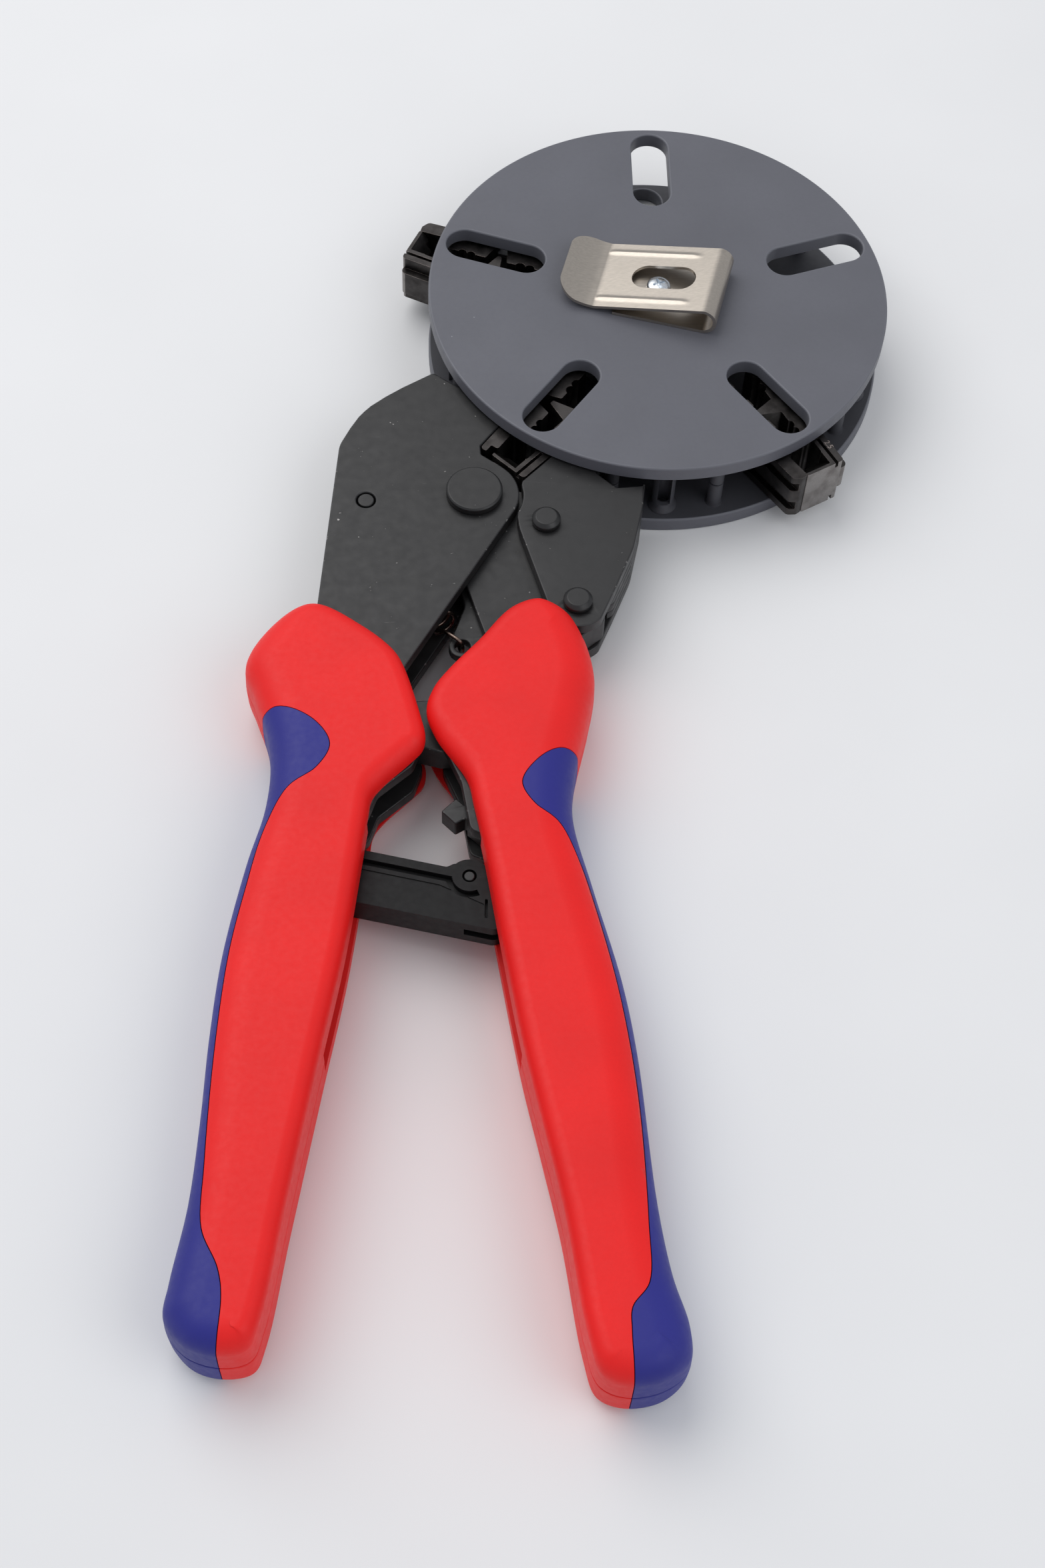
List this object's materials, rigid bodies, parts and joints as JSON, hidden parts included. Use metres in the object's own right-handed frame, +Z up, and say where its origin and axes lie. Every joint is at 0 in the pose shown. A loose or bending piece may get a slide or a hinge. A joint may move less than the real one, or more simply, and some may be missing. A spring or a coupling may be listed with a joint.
{
  "type": "ratchet crimping pliers",
  "caption": "Ratcheting hand crimping pliers with curved red and blue handles and a round magazine of crimp dies docked on the open jaws, with a sheet metal belt clip.",
  "frame": {"origin": "Bottom centre of the bounding box: the middle of its width and length, on the plane that the tool lies on.", "axes": "+Y along the tool from the handle ends to the magazine, +Z up through the tool's thickness, +X to the right seen from above."},
  "size_m": [0.1576, 0.3194, 0.0297],
  "materials": {
    "black_steel": "satin black oxide with bright worn edges",
    "pin_steel": "dark satin steel",
    "die_steel": "dark burnished steel",
    "grey_plastic": "fine satin moulding",
    "red_plastic": "matte moulding",
    "blue_plastic": "satin moulding",
    "black_plastic": "satin moulding",
    "clip_steel": "warm satin nickel",
    "zinc_steel": "bright zinc plate",
    "spring_steel": "oiled spring wire"
  },
  "bodies": {
    "fixed": {"fixed_plate_top": "black_steel", "fixed_plate_bottom": "black_steel", "fixed_spacer": "black_steel", "fixed_tang_spacer": "black_steel", "fixed_tang_rivet_1": "pin_steel", "fixed_tang_rivet_2": "pin_steel", "main_pivot_pin": "pin_steel", "spring_anchor_pin": "pin_steel", "link_pivot_pin": "pin_steel", "return_spring": "spring_steel", "left_grip_upper": "red_plastic", "left_grip_lower": "red_plastic", "left_inlay_upper": "blue_plastic", "left_inlay_lower": "blue_plastic", "jaw_die_a": "die_steel"},
    "jaw": {"moving_plate_top": "black_steel", "moving_plate_bottom": "black_steel", "moving_inner_plate_top": "black_steel", "moving_inner_plate_bottom": "black_steel", "moving_centre_plate": "black_steel", "jaw_rivet": "pin_steel", "handle_pivot_pin": "pin_steel", "jaw_die_b": "die_steel"},
    "handle": {"handle_plate_top": "black_steel", "handle_plate_bottom": "black_steel", "handle_tang": "black_steel", "handle_spacer": "black_steel", "handle_rivet_1": "pin_steel", "handle_rivet_2": "pin_steel", "handle_rivet_3": "pin_steel", "handle_rivet_4": "pin_steel", "knee_pin": "pin_steel", "pawl_pin": "pin_steel", "pawl_spring": "spring_steel", "stay_pin": "pin_steel", "stay_bracket": "black_steel", "bracket_rivet": "pin_steel", "right_grip_upper": "red_plastic", "right_grip_lower": "red_plastic", "right_inlay_upper": "blue_plastic", "right_inlay_lower": "blue_plastic"},
    "link": {"toggle_link": "black_steel"},
    "pawl": {"ratchet_pawl": "black_steel"},
    "stay": {"stay_bar": "black_plastic"},
    "magazine": {"magazine_disc_top": "grey_plastic", "magazine_disc_bottom": "grey_plastic", "magazine_hub": "grey_plastic", "spacer_column_1": "grey_plastic", "spacer_column_2": "grey_plastic", "spacer_column_3": "grey_plastic", "spacer_column_4": "grey_plastic", "spacer_column_5": "grey_plastic", "belt_clip": "clip_steel", "clip_screw": "zinc_steel"},
    "stored_left": {"stored_left_die_a": "die_steel", "stored_left_die_b": "die_steel"},
    "stored_right": {"stored_right_die_a": "die_steel", "stored_right_die_b": "die_steel"}
  },
  "joints": [
    {"name": "jaw_hinge", "type": "hinge", "parent": "fixed", "child": "jaw", "pos_m": [-0.02043, 0.04598, 0.0112], "axis": [0, 0, 1], "range_deg": [0, 7.21], "deforming": ["return_spring"]},
    {"name": "handle_hinge", "type": "hinge", "parent": "jaw", "child": "handle", "pos_m": [0.00222, 0.01548, 0.0112], "axis": [0, 0, 1], "range_deg": [-21.2, 0]},
    {"name": "link_hinge", "type": "hinge", "parent": "fixed", "child": "link", "pos_m": [-0.04418, -0.01532, 0.0112], "axis": [0, 0, 1], "range_deg": [0, 15.02]},
    {"name": "stay_hinge", "type": "hinge", "parent": "handle", "child": "stay", "pos_m": [-0.02188, -0.05172, 0.0112], "axis": [0, 0, 1], "range_deg": [0, 72.1]},
    {"name": "pawl_hinge", "type": "hinge", "parent": "handle", "child": "pawl", "pos_m": [-0.01668, -0.03582, 0.0112], "axis": [0, 0, 1], "range_deg": [-12, 0], "stiffness_Nm_per_rad": 0.05, "springref_deg": 17.19, "deforming": ["pawl_spring"]},
    {"name": "magazine_slide", "type": "slide", "parent": "fixed", "child": "magazine", "axis": [0.5878, 0.809, 0], "range_m": [0, 0.07]},
    {"name": "stored_left_slide", "type": "slide", "parent": "magazine", "child": "stored_left", "axis": [-0.9511, 0.309, 0], "range_m": [0, 0.04]},
    {"name": "stored_right_slide", "type": "slide", "parent": "magazine", "child": "stored_right", "axis": [0.5878, -0.809, 0], "range_m": [0, 0.04]}
  ],
  "couplings": [
    {"joint": "jaw_hinge", "follows": "handle_hinge", "ratio": -0.33962},
    {"joint": "link_hinge", "follows": "handle_hinge", "ratio": -0.70755},
    {"joint": "stay_hinge", "follows": "handle_hinge", "ratio": -3.3962}
  ]
}
